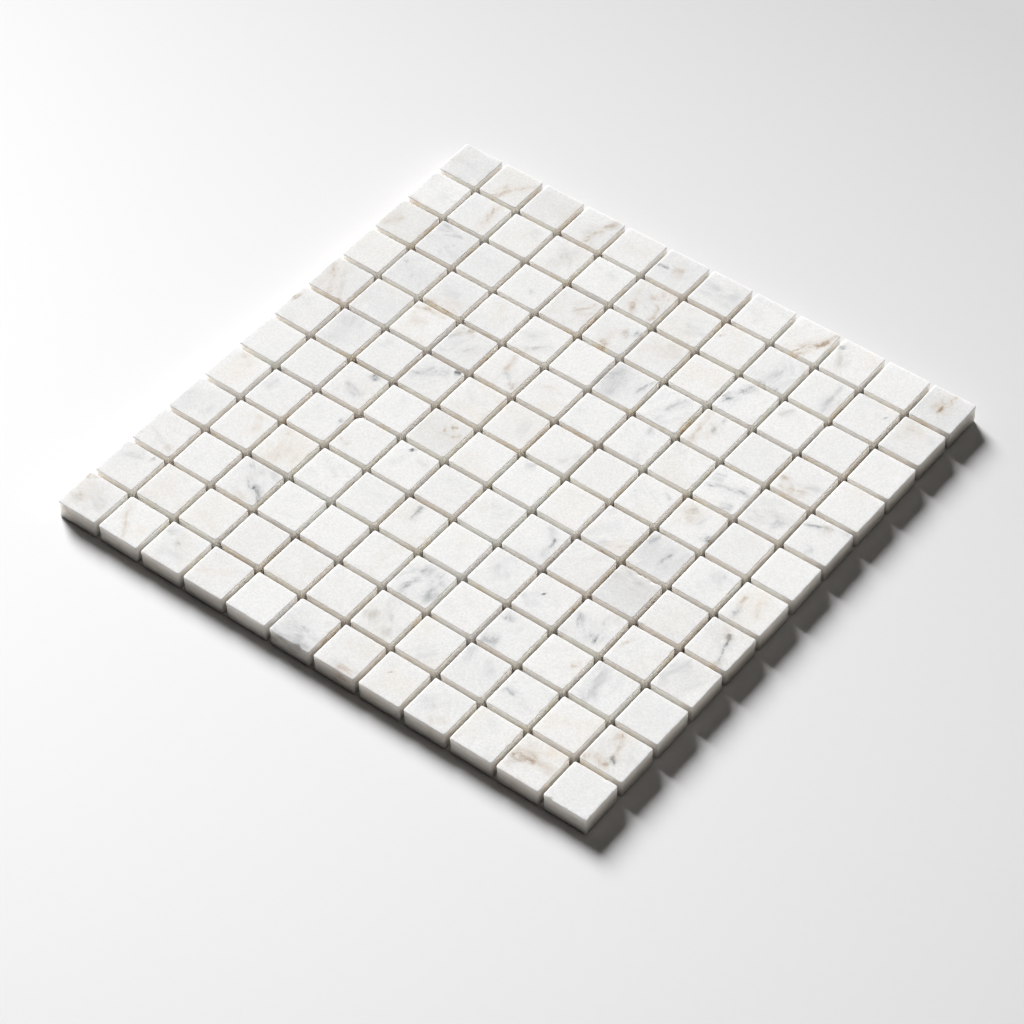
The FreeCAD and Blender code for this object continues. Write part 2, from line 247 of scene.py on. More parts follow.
    (1, 7): [(RUST, .50, .10, .96, .06, 1.4, .6), (GREY, .30, .16, .70, .06, 1.0, .3)],
    (1, 8): [(RUST, .34, .61, .37, .58, .5, .9), (CREAM, .20, .60, .80, .50, 6.0, .12)],
    (1, 9): [(GREY, .18, .68, .48, .38, 2.0, .35), (RUST, .52, .10, .86, .28, 1.3, .35)],
    (1, 11): [(RUST, .02, .40, .58, .56, 2.4, .8), (RUST, .40, .54, 1.0, .52, 1.6, .45),
              (RUST, .10, .84, .42, .62, 1.8, .45), (GREY, .06, .36, .40, .48, 1.6, .4),
              (GREY, .13, .33, .26, .24, 1.3, .5), (CREAM, .55, .84, .95, .99, 1.6, .9)],
    (1, 12): [(GREY, .10, .30, .80, .60, 3.0, .12), veil(GREY, .12)],
}


# The sheet's own sizes, in mm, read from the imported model.

def node_box(node):
    """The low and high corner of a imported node, in mm."""
    low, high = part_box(node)
    return np.array(low) / MM, np.array(high) / MM


ROW_NODES = sorted(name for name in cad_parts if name.startswith("tile_row_"))
FIRST_LOW, FIRST_HIGH = node_box(ROW_NODES[0])
NEXT_LOW, _ = node_box(ROW_NODES[1])
SIDE = FIRST_HIGH[1] - FIRST_LOW[1]
PITCH = NEXT_LOW[1] - FIRST_LOW[1]
TILES_IN_ROW = round((FIRST_HIGH[0] - FIRST_LOW[0] + PITCH - SIDE) / PITCH)
THICK = FIRST_HIGH[2] - FIRST_LOW[2]
SHEET_LOW = FIRST_LOW
SHEET_HIGH = node_box(ROW_NODES[-1])[1]


# One tile's mesh, in mm, about the middle of its back. Radii, trim and the sizes of nicks each lie
# between two values. The usual wear is the share of its nicks that a tile without a large chip keeps.

ARC_STEPS = 8
SIDE_STEPS = 30
CORNER_RADIUS = (.7, 1.3)
ARRIS_RADIUS = (.2, .32)
ARRIS_STEPS = 4
ARRIS_WAVES = (3, 7, 13, 19)
ARRIS_UNEVENNESS = .3
SIDE_TOP = 1.2
FACE_MARGIN = .25
FACE_RINGS = (1.3, 2.4)
BACK_EASE = .12
TRIM = (.05, .25)
SKEW = .06
NICKS = 9
NICK_HALF_LENGTH = (.5, 1.6)
NICK_DEPTH = (.2, .55)
NICK_ROUGHNESS = .03
NICK_TILT = (.5, 1.1)
USUAL_WEAR = .35

# The few large chips in sight: share of the way round from the tile's high-x, high-y corner, half length
# and depth in mm.
CHIPS = {
    (10, 11): [(.26, 2.4, 1.1)],
    (5, 4): [(.26, 2.6, 1.2)],
    (5, 10): [(.07, 1.6, .7), (.15, 1.3, .6)],
    (1, 6): [(.70, 1.8, .8)],
    (1, 12): [(.55, 1.5, .7)],
}


def outline(half, radii):
    """A rectangle with rounded corners: its points, outward directions, and shares of the way round."""
    points, outward = [], []
    signs = np.array([(1, 1), (-1, 1), (-1, -1), (1, -1)])
    centres = signs * (half - np.array(radii)[:, None])
    for number, radius in enumerate(radii):
        for step in range(ARC_STEPS + 1):
            angle = (number + step / ARC_STEPS) * math.pi / 2
            outward.append((math.cos(angle), math.sin(angle)))
            points.append(centres[number] + radius * np.array(outward[-1]))
        follower = (number + 1) % len(radii)
        side_start, side_end = points[-1], centres[follower] + radii[follower] * np.array(outward[-1])
        for step in range(1, SIDE_STEPS):
            outward.append(outward[-1])
            points.append(side_start + (side_end - side_start) * step / SIDE_STEPS)
    points = np.array(points)
    gaps = np.linalg.norm(np.roll(points, -1, 0) - points, axis=1)
    return points, np.array(outward), (np.cumsum(gaps) - gaps) / gaps.sum()


def skin(rings, count):
    """Faces over a stack of rings of points, with a cap at either end."""
    faces = []
    for ring in range(rings - 1):
        for place in range(count):
            low = ring * count + place
            beside = ring * count + (place + 1) % count
            faces.append((low, beside, beside + count, low + count))
    faces.append(tuple(reversed(range(count))))
    faces.append(tuple(range((rings - 1) * count, rings * count)))
    return faces


def ripple(share, draws):
    """Smooth unevenness round an outline, between about -1 and 1."""
    waves = [np.sin(2 * math.pi * (wave * share + draws.random())) for wave in ARRIS_WAVES]
    return np.mean(waves, axis=0) * 2


def random_nicks(draws):
    """Where the arris is nicked, over what half length and how deep."""
    return [
        (draws.random(), draws.uniform(*NICK_HALF_LENGTH),
         NICK_DEPTH[0] + (NICK_DEPTH[1] - NICK_DEPTH[0]) * draws.random() ** 2)
        for _ in range(draws.poisson(NICKS))
    ]


def knock_off(vertices, points, outward, share, chips, draws):
    """Pushes the vertices near each chip in to a shallow scoop across the arris."""
    for where, half_length, depth in chips:
        nearest = np.argmin(np.abs(share - where))
        tilt = draws.uniform(*NICK_TILT)
        facing = np.append(outward[nearest] * math.cos(tilt), math.sin(tilt))
        along = np.array([-outward[nearest][1], outward[nearest][0], 0])
        from_arris = vertices - np.append(points[nearest], THICK)
        reach = 1 - ((from_arris @ along) / half_length) ** 2
        over = from_arris @ facing + depth * reach
        hit = (over > 0) & (reach > 0)
        over[hit] += draws.normal(0, NICK_ROUGHNESS, hit.sum())
        vertices[hit] -= over[hit, None] * facing


def tile_mesh(place, draws):
    """Vertices and faces of one tile, in rings from the back up over the arris to the face.

    Only a tile with a large chip is nicked to the full depth, the others are worn less.
    """
    half = (SIDE - draws.uniform(*TRIM, 2)) / 2
    points, outward, share = outline(half, draws.uniform(*CORNER_RADIUS, 4))
    points[:, 0] += points[:, 1] / half[1] * draws.uniform(-SKEW, SKEW)
    worn = draws.uniform(*ARRIS_RADIUS) * (1 + ARRIS_UNEVENNESS * ripple(share, draws))
    level = np.zeros(len(points))
    rings = [
        (points - outward * BACK_EASE, level),
        (points, level + BACK_EASE),
        (points, level + THICK - SIDE_TOP),
    ]
    for step in range(ARRIS_STEPS + 1):
        angle = step / ARRIS_STEPS * math.pi / 2
        inset = worn * (1 - math.cos(angle))
        rings.append((points - outward * inset[:, None], THICK - worn * (1 - math.sin(angle))))
    rings.append((points - outward * (worn + FACE_MARGIN)[:, None], level + THICK))
    for inset in FACE_RINGS:
        rings.append((points * (1 - inset / half), level + THICK))
    vertices = np.concatenate([np.column_stack(ring) for ring in rings])
    nicked = vertices.copy()
    knock_off(nicked, points, outward, share, random_nicks(draws) + CHIPS.get(place, []), draws)
    wear = 1 if place in CHIPS else USUAL_WEAR
    return vertices + (nicked - vertices) * wear, skin(len(rings), len(points))


# What the stone's material reads at each vertex: the tile's own stone, its tone, and where its veins run.

VEIN_LEAN = .25
STONE_SPREAD = 500
STONE_TILT = .3


def turned(points, marks, draws):
    """The tile's place in a block of stone of its own, so that no cloud runs on into the next tile.

    The block's bedding, its own x, runs along the tile's first vein.
    """
    tilts = draws.uniform(-STONE_TILT, STONE_TILT, 2)
    heading = draws.uniform(0, 2 * math.pi)
    if marks:
        _, x_start, y_start, x_end, y_end, _, _ = marks[0]
        heading = math.atan2(y_end - y_start, x_end - x_start)
    turn = np.array(Euler((*tilts, -heading)).to_matrix())
    return points @ turn.T + draws.uniform(-STONE_SPREAD, STONE_SPREAD, 3)


def vein_field(points, x_start, y_start, x_end, y_end, half_width):
    """How far each point lies across a vein, in mm, and along it, in half lengths, and the half width.

    All are linear over the tile, so that they hold between the vertices too. A vein leans as it goes down.
    """
    start, end = (np.array([(x_start, y_start), (x_end, y_end)]) - .5) * SIDE
    half_length = np.linalg.norm(end - start) / 2
    along = (end - start) / (2 * half_length)
    beside = np.array([-along[1], along[0]])
    offset = points[:, :2] - (start + end) / 2
    across = offset @ beside + (THICK - points[:, 2]) * VEIN_LEAN
    return np.column_stack([across, offset @ along / half_length, np.full(len(points), half_width)])


def vein_fields(points, marks):
    """The fields of every vein slot, by attribute name, and each kind's strengths."""
    fields = {}
    for kind in KINDS:
        own = [mark[1:] for mark in marks if mark[0] == kind]
        strengths = np.zeros(MARKS_PER_KIND)
        for slot in range(MARKS_PER_KIND):
            fields[f"{kind}_{slot}"] = np.ones((len(points), 3))
            if slot < len(own):
                *line, strengths[slot] = own[slot]
                fields[f"{kind}_{slot}"] = vein_field(points, *line)
        fields[f"{kind}_strength"] = np.tile(strengths, (len(points), 1))
    return fields


# The rows of tiles. Each tile sits a little off its place in the grid, but never outside the sheet.

SHIFT = .13
TURN = math.radians(.35)
LOWEST_FACE = .12


def seated(vertices, centre, draws):
    """A tile's vertices, turned, lowered and shifted a little at its place in the grid."""
    angle = draws.uniform(-TURN, TURN)
    turn = np.array([(math.cos(angle), math.sin(angle)), (-math.sin(angle), math.cos(angle))])
    vertices = vertices.copy()
    vertices[:, :2] = vertices[:, :2] @ turn + draws.uniform(-SHIFT, SHIFT, 2)
    vertices[:, 2] *= 1 - draws.random() * LOWEST_FACE / THICK
    vertices += centre
    too_low = np.minimum(vertices.min(0) - SHEET_LOW, 0)
    too_high = np.maximum(vertices.max(0) - SHEET_HIGH, 0)
    return vertices - too_low - too_high


def new_piece(name, vertices, faces, fields=None):
    """An object from vertices in mm, smooth but for its caps, with named vectors at its vertices."""
    mesh = bpy.data.meshes.new(name)
    mesh.from_pydata(vertices * MM, [], faces)
    for field, values in (fields or {}).items():
        attribute = mesh.attributes.new(field, "FLOAT_VECTOR", "POINT")
        attribute.data.foreach_set("vector", values.astype(np.float32).ravel())
    mesh.polygons.foreach_set("use_smooth", [len(face) == 4 for face in faces])
    piece = bpy.data.objects.new(name, mesh)
    bpy.context.scene.collection.objects.link(piece)
    return piece


def joined(parts):
    """The vertices and faces of several meshes as one."""
    faces, start = [], 0
    for vertices, own_faces in parts:
        faces += [tuple(start + corner for corner in face) for face in own_faces]
        start += len(vertices)
    return np.concatenate([vertices for vertices, _ in parts]), faces


def tile_row(row, node):
    """One row of tiles as one object, each tile with a shape, seat and stone of its own."""
    low, _ = node_box(node)
    tiles, row_fields = [], []
    for column in range(TILES_IN_ROW):
        place = (row, column + 1)
        vertices, faces = tile_mesh(place, DRAWS)
        marks = VEINS.get(place, [])
        row_fields.append({
            "stone": turned(vertices, marks, DRAWS),
            "tone": np.tile(DRAWS.random(3), (len(vertices), 1)),
            **vein_fields(vertices, marks),
        })
        centre = low + (column * PITCH + SIDE / 2, SIDE / 2, 0)
        tiles.append((seated(vertices, centre, DRAWS), faces))
    fields = {name: np.concatenate([own[name] for own in row_fields]) for name in row_fields[0]}
    return new_piece(node + "_stone", *joined(tiles), fields)


# The net: flat weft yarns along X, each drawn through between the two twisted yarns of every warp pair.

YARNS = 61
YARN_WIDTH = .9
WEFT_THICK = .14
WEFT_SWAY = .03
WEFT_SIDES = 6
TWINE_WIDTH = .34
TWINE_THICK = .14
TWINE_SWAY = .22
TWINE_SIDES = 4
STEPS_PER_MESH = 3
UP = np.array((0, 0, 1))
NET_LOW, NET_HIGH = node_box("net_warp")
NET_TOP = node_box("net_weft")[1][2]
NET_MIDDLE = (NET_LOW[2] + NET_TOP) / 2
TWINE_LIFT = (NET_TOP - NET_LOW[2] - TWINE_THICK) / 2
MESH_PITCH = (NET_HIGH[0] - NET_LOW[0] - YARN_WIDTH) / (YARNS - 1)
YARN_PLACES = (np.arange(YARNS) - (YARNS - 1) / 2) * MESH_PITCH
ALONG_YARN = np.linspace(NET_LOW[1], NET_HIGH[1], (YARNS - 1) * STEPS_PER_MESH + 1)
TWIST = math.pi * (ALONG_YARN / MESH_PITCH)


def yarn(direction, to_side, lift, width, thick, sides):
    """A closed flat tube through the whole net, from how far it lies to the side and above its middle."""
    across = np.cross(UP, direction)
    path = np.outer(ALONG_YARN, direction) + np.outer(to_side, across) + np.outer(NET_MIDDLE + lift, UP)
    turn = np.arange(sides) * 2 * math.pi / sides
    section = np.outer(np.cos(turn) * width / 2, across) + np.outer(np.sin(turn) * thick / 2, UP)
    return (path[:, None] + section).reshape(-1, 3), skin(len(path), sides)


def warp():
    """Pairs of yarns along Y that change places, over and under, at every crossing."""
    yarns = []
    for place in YARN_PLACES:
        for side in (-1, 1):
            to_side = side * TWINE_SWAY * np.sin(TWIST) - place
            lift = side * TWINE_LIFT * np.cos(TWIST)
            yarns.append(yarn((0, 1, 0), to_side, lift, TWINE_WIDTH, TWINE_THICK, TWINE_SIDES))
    return new_piece("net_warp_yarns", *joined(yarns))


def weft():
    """Single flat yarns along X, lying almost straight."""
    yarns = []
    for number, place in enumerate(YARN_PLACES):
        lift = WEFT_SWAY * np.cos(TWIST + math.pi * number)
        to_side = np.full_like(TWIST, place)
        yarns.append(yarn((1, 0, 0), to_side, lift, YARN_WIDTH, WEFT_THICK, WEFT_SIDES))
    return new_piece("net_weft_yarns", *joined(yarns))


# Materials. Sizes inside them are in mm of stone or yarn, and colours are linear.

class Nodes:
    """Short ways to add nodes to a tree. Each gives back the socket that comes out."""

    def __init__(self, tree):
        self.tree = tree

    def add(self, kind, inputs, output=0, **settings):
        node = self.tree.nodes.new(kind)
        for name, value in settings.items():
            setattr(node, name, value)
        for name, value in inputs.items():
            self.feed(node.inputs[name], value)
        return node.outputs[output]

    def feed(self, socket, value):
        """Links a socket to another one, or sets it to a constant."""
        if isinstance(value, bpy.types.NodeSocket):
            self.tree.links.new(value, socket)
        else:
            socket.default_value = value

    def math(self, operation, *values):
        return self.add("ShaderNodeMath", dict(enumerate(values)), operation=operation)

    def attribute(self, name):
        return self.add("ShaderNodeAttribute", {}, "Vector", attribute_name=name)

    def parts(self, vector):
        """A vector's x, y and z, as three sockets."""
        return self.add("ShaderNodeSeparateXYZ", {0: vector}).node.outputs

    def stretched(self, vector, factors):
        return self.add("ShaderNodeVectorMath", {0: vector, 1: factors}, operation="MULTIPLY")

    def place_in_mm(self):
        """Where a point lies on its object, in mm."""
        place = self.add("ShaderNodeTexCoord", {}, "Object")
        return self.stretched(place, (1 / MM, 1 / MM, 1 / MM))

    def noise(self, place, size, detail=2.0, roughness=.5, output="Fac"):
        """Noise with features of a given size. Its colour is three noises in one."""
        inputs = {"Vector": place, "Scale": 1 / size, "Detail": detail, "Roughness": roughness}
        return self.add("ShaderNodeTexNoise", inputs, output)

    def between(self, value, low, high, start=0.0, end=1.0):
        """Takes low to start and high to end, smoothly, and goes no further."""
        inputs = {"Value": value, "From Min": low, "From Max": high, "To Min": start, "To Max": end}
        return self.add("ShaderNodeMapRange", inputs, interpolation_type="SMOOTHSTEP")

    def blend(self, share, below, above, kind="MIX"):
        """The colour below, with a share of the colour above laid over it."""
        mix = self.tree.nodes.new("ShaderNodeMix")
        mix.data_type = "RGBA"
        mix.blend_type = kind
        values = {"Factor_Float": share, "A_Color": below, "B_Color": above}
        for socket in mix.inputs:
            if socket.identifier in values:
                self.feed(socket, values[socket.identifier])
        return next(socket for socket in mix.outputs if socket.identifier == "Result_Color")

    def bump(self, height):
        """The normal over a height in mm."""
        return self.add("ShaderNodeBump", {"Height": height, "Distance": MM}, "Normal")


def new_material(name, settings):
    """A material with its shader's constant settings, its nodes, and the shader."""
    material = bpy.data.materials.new(name)
    material.use_nodes = True
    shader = material.node_tree.nodes["Principled BSDF"]
    for socket, value in settings.items():
        shader.inputs[socket].default_value = value
    return material, Nodes(material.node_tree), shader


def opaque(red, green, blue):
    return red, green, blue, 1.0


# A vein's section: how much wider its halo is than its core, and the core's share of its cover. By how
# much it is widened, wanders and swells. Where it ends, in half lengths, and between what half widths, in
# mm, it turns into an even cloud.
VEIN_HALO = 2.7
VEIN_CORE_SHARE = .55
VEIN_WIDEN = 1.5
SWAY_LEAST = 1.1
SWAY_OF_WIDTH = .8
BREADTH_LEAST = .3
BREADTH_SWELL = 1.4
VEIN_END = (1.3, .6)
WIDE_CLOUD = (1, 7)


def vein_group():
    """Node group: how much of a point is covered by one vein, from its field and four noises.

    A vein is a wandering dark core in a smoky halo. A wide cloud is hardly broken up.
    """
    tree = bpy.data.node_groups.new("vein", "ShaderNodeTree")
    tree.interface.new_socket("Field", in_out="INPUT", socket_type="NodeSocketVector")
    for name in ("Strength", "Sway", "Swell", "Smoke", "Speckle"):
        tree.interface.new_socket(name, in_out="INPUT", socket_type="NodeSocketFloat")
    tree.interface.new_socket("Cover", in_out="OUTPUT", socket_type="NodeSocketFloat")
    nodes = Nodes(tree)
    given = tree.nodes.new("NodeGroupInput").outputs
    across, along, half_width = nodes.parts(given["Field"])
    reach = nodes.math("MULTIPLY_ADD", half_width, SWAY_OF_WIDTH, SWAY_LEAST)
    bent = nodes.math("MULTIPLY_ADD", given["Sway"], reach, across)
    swell = nodes.math("MULTIPLY_ADD", given["Swell"], BREADTH_SWELL, BREADTH_LEAST)
    breadth = nodes.math("MULTIPLY", nodes.math("MULTIPLY", half_width, VEIN_WIDEN), swell)
    ratio = nodes.math("DIVIDE", bent, breadth)
    square = nodes.math("MULTIPLY", ratio, ratio)
    evenness = nodes.between(half_width, *WIDE_CLOUD)
    core = (1, VEIN_CORE_SHARE, given["Speckle"])
    halo = (VEIN_HALO, 1 - VEIN_CORE_SHARE, given["Smoke"])
    bells = []
    for spread, share, broken in (core, halo):
        bell = nodes.math("EXPONENT", nodes.math("MULTIPLY", square, -1 / spread ** 2))
        bell = nodes.math("MULTIPLY", bell, share)
        bells.append(nodes.math("MULTIPLY", nodes.math("MAXIMUM", broken, evenness), bell))
    cover = nodes.math("ADD", *bells)
    for factor in (nodes.between(nodes.math("ABSOLUTE", along), *VEIN_END), given["Strength"]):
        cover = nodes.math("MULTIPLY", cover, factor)
    tree.links.new(cover, tree.nodes.new("NodeGroupOutput").inputs["Cover"])
    return tree


# The stone's colours. Each kind of vein has one where it is faint, one where it is thick, and a depth:
# the cover at which it hides the stone below.
WHITE = opaque(.797, .797, .795)
CLOUD = opaque(.57, .58, .59)
WARM = opaque(.765, .725, .665)
VEIN_COLOURS = {
    CREAM: (opaque(.79, .755, .70), opaque(.75, .68, .59)),
    GREY: (opaque(.60, .61, .62), opaque(.19, .20, .21)),
    RUST: (opaque(.73, .67, .59), opaque(.37, .27, .19)),
}
VEIN_DEPTH = {CREAM: 1.0, GREY: 1.06, RUST: .86}

# What the stone's colour is multiplied by. In a joint it is over one, a painted glow for the light that
# the sides there throw on each other; where a side is stained the stain's colour stands instead. On the arris
# it is a painted shade that damps its highlight, and on the sheet's outer sides a darker, warmer painted
# shade.
UNTINTED = opaque(1, 1, 1)
ARRIS_PAINTED_SHADE = opaque(.97, .97, .97)
JOINT_PAINTED_GLOW = opaque(1.30, 1.20, 1.095)
STAINED_TINT = opaque(1.08, .95, .80)
RIM_PAINTED_SHADE = opaque(.89, .845, .785)

# The stone's noises: the size of their features in mm, their detail, their roughness.
SWAY_NOISE = (8, 4, .68)
SWELL_NOISE = (4, 1, .5)
BEND_NOISE = (20, 1, .5)
SMOKE_NOISE = (6, 4, .65)
GRAIN_NOISE = (1.1, 3, .75)
CAST_NOISE = (16, 2)
STAIN_NOISE = (18, 3)
RELIEF_NOISE = (1, 2, .6)

# How strongly a noise sways the veins, how far one bends the bedding, in mm, and how a place is stretched
# before it meets a noise.
MIDDLE_OF_NOISE = (.5, .5, .5)
SWAY_GAIN = (2.8, 2.8, 2.8)
BEND = (10, 10, 10)
ALONG_BEDDING = (.45, 1, .8)
HONED_GRAIN = (1.4, 1.4, 1.4)
SAW_LINES = (.06, .06, 1.6)

# The two values between which a noise or a tile's own draw sets in, and for some what it gives there.
SMOKY = (.36, .64, .25, 1.25)
SPECKLED = (.86, 1.24, .1, 1.15)
CLOUDS = (.44, .72)
CLOUDY_TILES = (.3, 1)
CLOUDINESS = (.05, .35)
CASTS = (.4, .66)
WARM_TILES = (.4, 1)
WARMTH = (0, .42)
STAINS = (.53, .72)
GRAINS = (.3, .7)

# Between what heights a side sets in below the face, and between what distances from the sheet's middle
# it turns from a joint's side, with its painted glow, into an outer one, with its painted shade, in mm. How
# far up a normal points where the arris and where a sawn side sets in.
WALL = (SHEET_HIGH[2] - .15, SHEET_HIGH[2] - .5)
RIM = (SHEET_HIGH[0] - 9, SHEET_HIGH[0] - 1)
ARRIS = (.99, .8)
SAWN = (.9, .4)

# On the face and on a side: the grain's dullest and brightest level, and the relief in mm.
DULLEST_GRAIN = (.913, .975)
BRIGHTEST_GRAIN = (1.055, 1.01)
RELIEF_DEPTHS = (.04, .03)

# How much more a tile's own tone counts on its sides than on its face, and how much there. The draw that
# gives the plain tone.
TILE_LEVELS = (.18, .035)
MIDDLE_TILE = .6

# The share of light that goes into the face, and how far it goes, in mm, there and on a side.
FACE_DEPTH = .5
FACE_SCALE = 2.5
WALL_SCALE = 16

HONED_ROUGHNESS = .6
GRAIN_ROUGHNESS = .2
SAWN_ROUGHNESS = .1


def veined(nodes, stone, colour, group, smoke, grain):
    """The stone's colour with its chosen veins laid over, each kind in its own colours."""
    sways = nodes.noise(stone, *SWAY_NOISE, "Color")
    sways = nodes.add("ShaderNodeVectorMath", {0: sways, 1: MIDDLE_OF_NOISE}, operation="SUBTRACT")
    sways = nodes.parts(nodes.stretched(sways, SWAY_GAIN))
    swells = nodes.parts(nodes.noise(stone, *SWELL_NOISE, "Color"))
    smoky = nodes.between(smoke, *SMOKY)
    speckled = nodes.between(nodes.math("ADD", smoke, grain), *SPECKLED)
    for kind in KINDS:
        strengths = nodes.parts(nodes.attribute(f"{kind}_strength"))
        cover = 0.0
        for slot in range(MARKS_PER_KIND):
            vein = nodes.tree.nodes.new("ShaderNodeGroup")
            vein.node_tree = group
            field = nodes.attribute(f"{kind}_{slot}")
            given = (field, strengths[slot], sways[slot], swells[slot], smoky, speckled)
            for socket, value in zip(vein.inputs, given):
                nodes.feed(socket, value)
            cover = nodes.math("MAXIMUM", vein.outputs["Cover"], cover)
        own = nodes.blend(cover, *VEIN_COLOURS[kind])
        colour = nodes.blend(nodes.math("DIVIDE", cover, VEIN_DEPTH[kind]), colour, own)
    return colour


def clouded(nodes, stone, warm, grey, smoke):
    """White stone with grey clouds along its bedding, and a warm cast here and there."""
    cloud = nodes.between(smoke, *CLOUDS)
    cloud = nodes.math("MULTIPLY", cloud, nodes.between(grey, *CLOUDY_TILES, *CLOUDINESS))
    cast = nodes.between(nodes.noise(stone, *CAST_NOISE), *CASTS)
    cast = nodes.math("MULTIPLY", cast, nodes.between(warm, *WARM_TILES, *WARMTH))
    return nodes.blend(cast, nodes.blend(cloud, WHITE, CLOUD), WARM)


def smoky_noise(nodes, stone):
    """Smoke that is drawn out along the stone's bedding and bent a little."""
    bend = nodes.stretched(nodes.noise(stone, *BEND_NOISE, "Color"), BEND)
    drawn = nodes.stretched(stone, ALONG_BEDDING)
    bent = nodes.add("ShaderNodeVectorMath", {0: drawn, 1: bend}, operation="ADD")
    return nodes.noise(bent, *SMOKE_NOISE)


def grain_level(nodes, grain, light, wall):
    """How bright the stone is: its sugary grain, weaker on the sides, and its tile's tone, stronger there."""
    dullest = nodes.between(wall, 0, 1, *DULLEST_GRAIN)
    brightest = nodes.between(wall, 0, 1, *BRIGHTEST_GRAIN)
    sugary = nodes.between(grain, *GRAINS, dullest, brightest)
    unevenness = nodes.math("MULTIPLY_ADD", wall, *TILE_LEVELS)
    off_middle = nodes.math("SUBTRACT", light, MIDDLE_TILE)
    tone = nodes.math("MULTIPLY_ADD", off_middle, unevenness, 1)
    return nodes.math("MULTIPLY", sugary, tone)


def painted_light_and_stain_tint(nodes, stone, in_mm, wall, upward):
    """Painted light and shade on the stone, with the joints' faint stains: a painted shade on the arris, a
    painted glow on the joints' sides, and a painted shade on the sheet's outer sides.
    """
    x, y, _ = nodes.parts(in_mm)
    out = nodes.math("MAXIMUM", nodes.math("ABSOLUTE", x), nodes.math("ABSOLUTE", y))
    # painted shade on the arris, which damps its highlight
    face = nodes.blend(nodes.between(upward, *ARRIS), UNTINTED, ARRIS_PAINTED_SHADE)
    stained = nodes.between(nodes.noise(stone, *STAIN_NOISE), *STAINS)
    # painted glow on the joints' sides, for the light they throw on each other; the stains are the stone's
    # own
    joint = nodes.blend(stained, JOINT_PAINTED_GLOW, STAINED_TINT)
    # painted shade, darker and warmer, on the sheet's outer sides and the last 9 mm of the joints
    side = nodes.blend(nodes.between(out, *RIM), joint, RIM_PAINTED_SHADE)
    return nodes.blend(wall, face, side)


def relief(nodes, stone, in_mm, sawn):
    """The height of the honed grain and, on what is sawn, of the saw's lines, in mm."""
    place = nodes.blend(sawn, nodes.stretched(stone, HONED_GRAIN), nodes.stretched(in_mm, SAW_LINES))
    depth = nodes.between(sawn, 0, 1, *RELIEF_DEPTHS)
    return nodes.math("MULTIPLY", nodes.noise(place, *RELIEF_NOISE), depth)


def marble(group):
    """Honed white marble with clouds, veins and sugary grain, and a tone that differs from tile to tile.

    Light goes a short way into the face and a long way into the sawn sides. In the joints those carry a
    painted tan glow and faint stains, and on the outside of the sheet a painted shade, darker and warmer.
    """
    material, nodes, shader = new_material("honed marble", {
        "IOR": 1.5,
        "Specular IOR Level": .1,
        "Subsurface Radius": (1, 1, 1),
    })
    shader.subsurface_method = "RANDOM_WALK"
    stone = nodes.attribute("stone")
    warm, grey, light = nodes.parts(nodes.attribute("tone"))
    smoke = smoky_noise(nodes, stone)
    grain = nodes.noise(stone, *GRAIN_NOISE)
    in_mm = nodes.place_in_mm()
    wall = nodes.between(nodes.parts(in_mm)[2], *WALL)
    upward = nodes.parts(nodes.add("ShaderNodeNewGeometry", {}, "Normal"))[2]
    sawn = nodes.between(upward, *SAWN)

    colour = veined(nodes, stone, clouded(nodes, stone, warm, grey, smoke), group, smoke, grain)
    level = grain_level(nodes, grain, light, wall)
    levels = nodes.add("ShaderNodeCombineColor", {0: level, 1: level, 2: level})
    colour = nodes.blend(1.0, colour, levels, "MULTIPLY")
    # painted light and shade: glow in the joints, shade on the arris and on the sheet's outer sides
    colour = nodes.blend(1.0, colour, painted_light_and_stain_tint(nodes, stone, in_mm, wall, upward), "MULTIPLY")
    rough = nodes.math("MULTIPLY_ADD", grain, GRAIN_ROUGHNESS, HONED_ROUGHNESS)
    rough = nodes.math("MULTIPLY_ADD", sawn, SAWN_ROUGHNESS, rough)
    scale = nodes.math("MULTIPLY_ADD", wall, WALL_SCALE - FACE_SCALE, FACE_SCALE)
    nodes.feed(shader.inputs["Base Color"], colour)
    nodes.feed(shader.inputs["Roughness"], rough)
    nodes.feed(shader.inputs["Subsurface Weight"], nodes.between(wall, 0, 1, FACE_DEPTH, 1))
    nodes.feed(shader.inputs["Subsurface Scale"], nodes.math("MULTIPLY", scale, MM))
    nodes.feed(shader.inputs["Normal"], nodes.bump(relief(nodes, stone, in_mm, sawn)))
    return material


# The yarn's noises are given as the stone's are, and its filaments' height in mm.
FILAMENT_STRETCH = (1, 1, 2.5)
FILAMENT_NOISE = (.12, 2, .6)
FILAMENT_HEIGHT = .03
RESIN_NOISE = (1.8, 3)
RESIN = (.35, .65)
BARE_YARN = opaque(.82, .83, .80)
RESIN_COLOUR = opaque(.70, .71, .66)
YARN_ROUGHNESS = (.3, .7, .3, .6)


def coated_glass_fibre():
    """White yarn of many filaments, stiff with resin that shines a little and pools unevenly."""
    material, nodes, shader = new_material("coated glass fibre", {"IOR": 1.48})
    place = nodes.place_in_mm()
    filaments = nodes.noise(nodes.stretched(place, FILAMENT_STRETCH), *FILAMENT_NOISE)
    resin = nodes.noise(place, *RESIN_NOISE)
    colour = nodes.blend(nodes.between(resin, *RESIN), BARE_YARN, RESIN_COLOUR)
    height = nodes.math("MULTIPLY", filaments, FILAMENT_HEIGHT)
    nodes.feed(shader.inputs["Base Color"], colour)
    nodes.feed(shader.inputs["Roughness"], nodes.between(resin, *YARN_ROUGHNESS))
    nodes.feed(shader.inputs["Normal"], nodes.bump(height))
    return material


# The studio, in metres: a seamless pale floor with a painted pool of light round the sheet, one soft light
# from the far left, a broad dim glow from the right as from a wall that throws light back, and a faint even
# surround.

FLOOR_SIZE = 40
